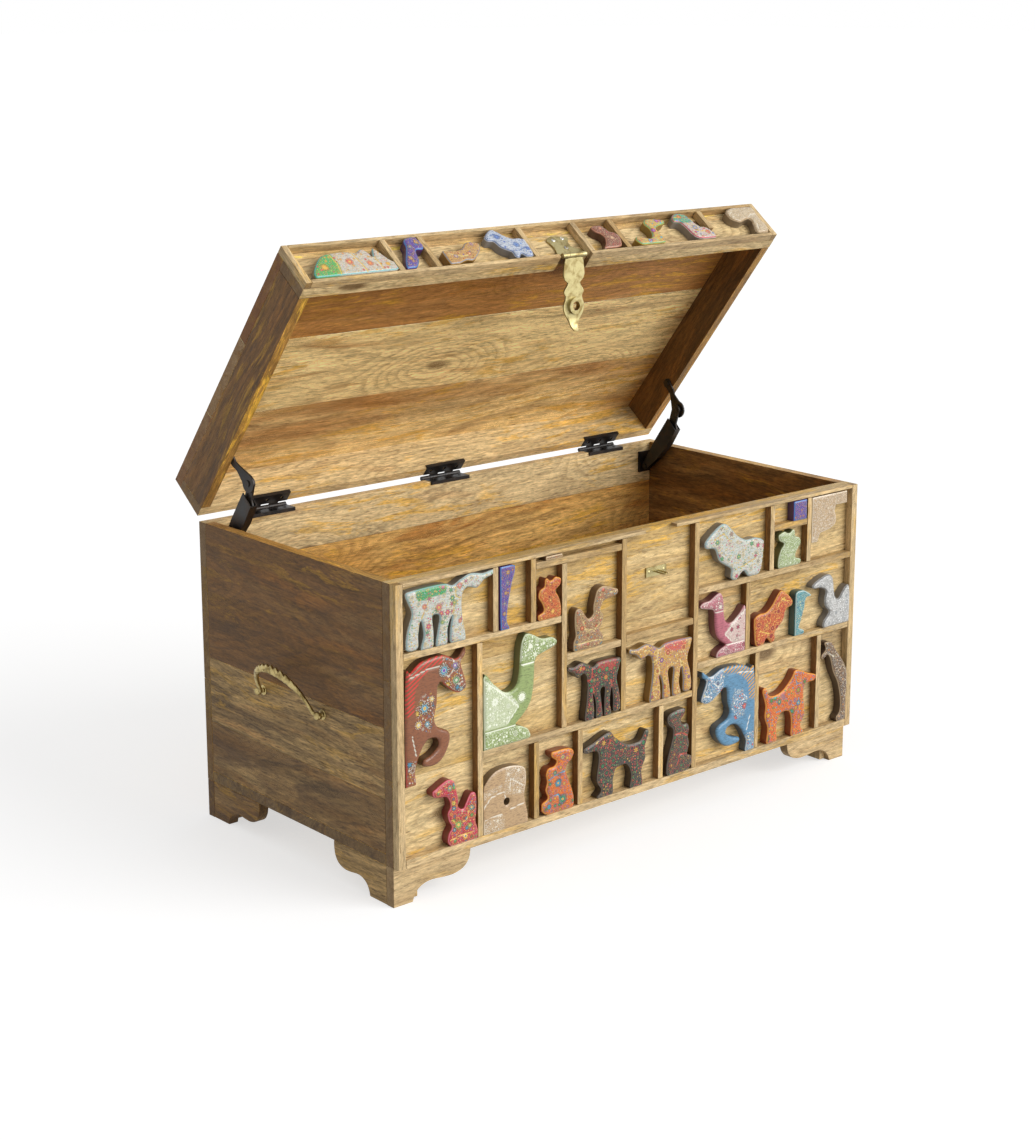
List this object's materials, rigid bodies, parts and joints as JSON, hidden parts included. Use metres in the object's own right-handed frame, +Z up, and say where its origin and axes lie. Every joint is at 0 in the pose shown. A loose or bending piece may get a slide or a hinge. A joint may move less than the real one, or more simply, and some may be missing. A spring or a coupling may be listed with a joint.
{
  "type": "storage chest",
  "caption": "Wooden blanket chest on scroll feet, with a hinged tray lid on stays, a front of compartments with carved painted animals, a hasp and rope-twist drop handles.",
  "frame": {"origin": "on the floor under the middle of the chest's bounding box, with the lid open as in the picture", "axes": "+X to the viewer's right along the chest's length, +Y from the front to the hinged back, +Z up"},
  "size_m": [0.9824, 0.5328, 0.8613],
  "materials": {
    "light_wood": "satin",
    "dark_planks": "satin",
    "cream_paint": "satin",
    "dark_paint": "satin",
    "brown_paint": "satin",
    "red_paint": "satin",
    "silver_paint": "satin",
    "green_paint": "satin",
    "orange_paint": "satin",
    "purple_paint": "satin",
    "yellow_paint": "satin",
    "blue_paint": "satin",
    "black_iron": "satin",
    "brass": "satin"
  },
  "bodies": {
    "case": {"back_left_foot": "light_wood", "back_panel": "dark_planks", "back_right_foot": "light_wood", "bottom_panel": "dark_planks", "front_brown_horse": "brown_paint", "front_dark_elephant": "dark_paint", "front_dividers": "light_wood", "front_frame": "light_wood", "front_green_bird": "green_paint", "front_left_foot": "light_wood", "front_orange_cat": "orange_paint", "front_orange_dog": "orange_paint", "front_panel": "light_wood", "front_red_camel": "red_paint", "front_right_foot": "light_wood", "front_silver_camel": "silver_paint", "front_white_elephant": "cream_paint", "front_white_giraffe": "cream_paint", "hasp_staple": "brass", "left_handle_back_post": "brass", "left_handle_front_post": "brass", "left_hinge_case_leaf": "black_iron", "left_side_panel": "dark_planks", "left_stay_bracket": "black_iron", "middle_hinge_case_leaf": "black_iron", "right_handle_back_post": "brass", "right_handle_front_post": "brass", "right_hinge_case_leaf": "black_iron", "right_side_panel": "dark_planks", "right_stay_bracket": "black_iron"},
    "lid": {"hasp_plate": "brass", "left_hinge_lid_leaf": "black_iron", "left_stay_foot_pin": "black_iron", "lid_back_panel": "dark_planks", "lid_blue_cow": "blue_paint", "lid_cream_ram": "cream_paint", "lid_frame": "light_wood", "lid_front_panel": "light_wood", "lid_green_elephant": "green_paint", "lid_left_panel": "dark_planks", "lid_peacock": "green_paint", "lid_purple_giraffe": "purple_paint", "lid_red_cat": "red_paint", "lid_right_panel": "dark_planks", "lid_top_panel": "dark_planks", "lid_yellow_bird": "yellow_paint", "lid_yellow_dog": "yellow_paint", "middle_hinge_lid_leaf": "black_iron", "right_hinge_lid_leaf": "black_iron", "right_stay_foot_pin": "black_iron"},
    "hasp_pin": {"hasp_pin": "brass"},
    "hasp_flap": {"hasp_flap": "brass"},
    "left_stay": {"left_stay_channel": "black_iron", "left_stay_strap": "black_iron"},
    "right_stay": {"right_stay_channel": "black_iron", "right_stay_strap": "black_iron"},
    "left_stay_arm": {"left_stay_arm": "black_iron"},
    "right_stay_arm": {"right_stay_arm": "black_iron"},
    "left_handle": {"left_handle_bail": "brass"},
    "right_handle": {"right_handle_bail": "brass"}
  },
  "joints": [
    {"name": "lid_hinge", "type": "hinge", "parent": "case", "child": "lid", "pos_m": [0, 0.21415, 0.4471], "axis": [-1, 0, 0], "range_deg": [-52, 16]},
    {"name": "left_stay_pivot", "type": "hinge", "parent": "case", "child": "left_stay", "pos_m": [-0.4198, 0.18045, 0.4088], "axis": [-1, 0, 0], "range_deg": [-52, 16]},
    {"name": "left_stay_knee", "type": "hinge", "parent": "left_stay", "child": "left_stay_arm", "pos_m": [-0.4283, 0.11375, 0.514], "axis": [-1, 0, 0], "range_deg": [-16, 52]},
    {"name": "right_stay_pivot", "type": "hinge", "parent": "case", "child": "right_stay", "pos_m": [0.4198, 0.18045, 0.4088], "axis": [-1, 0, 0], "range_deg": [-52, 16]},
    {"name": "right_stay_knee", "type": "hinge", "parent": "right_stay", "child": "right_stay_arm", "pos_m": [0.4283, 0.11375, 0.514], "axis": [-1, 0, 0], "range_deg": [-16, 52]},
    {"name": "hasp_pin_turn", "type": "hinge", "parent": "lid", "child": "hasp_pin", "pos_m": [0.0268, -0.06571, 0.81651], "axis": [-1, 0, 0], "range_deg": [-21, 68.01]},
    {"name": "hasp_flap_hinge", "type": "hinge", "parent": "hasp_pin", "child": "hasp_flap", "pos_m": [0.0268, -0.06571, 0.81651], "axis": [-1, 0, 0], "range_deg": [-16, 150]},
    {"name": "left_handle_swing", "type": "hinge", "parent": "case", "child": "left_handle", "pos_m": [-0.459, -0.01835, 0.231], "axis": [0, -1, 0], "range_deg": [-26, 154]},
    {"name": "right_handle_swing", "type": "hinge", "parent": "case", "child": "right_handle", "pos_m": [0.459, -0.01835, 0.231], "axis": [0, 1, 0], "range_deg": [-26, 154]}
  ],
  "couplings": [
    {"joint": "left_stay_pivot", "follows": "lid_hinge", "ratio": 1},
    {"joint": "left_stay_knee", "follows": "lid_hinge", "ratio": -1},
    {"joint": "right_stay_pivot", "follows": "lid_hinge", "ratio": 1},
    {"joint": "right_stay_knee", "follows": "lid_hinge", "ratio": -1},
    {"joint": "hasp_pin_turn", "follows": "lid_hinge", "ratio": -1.3077}
  ]
}
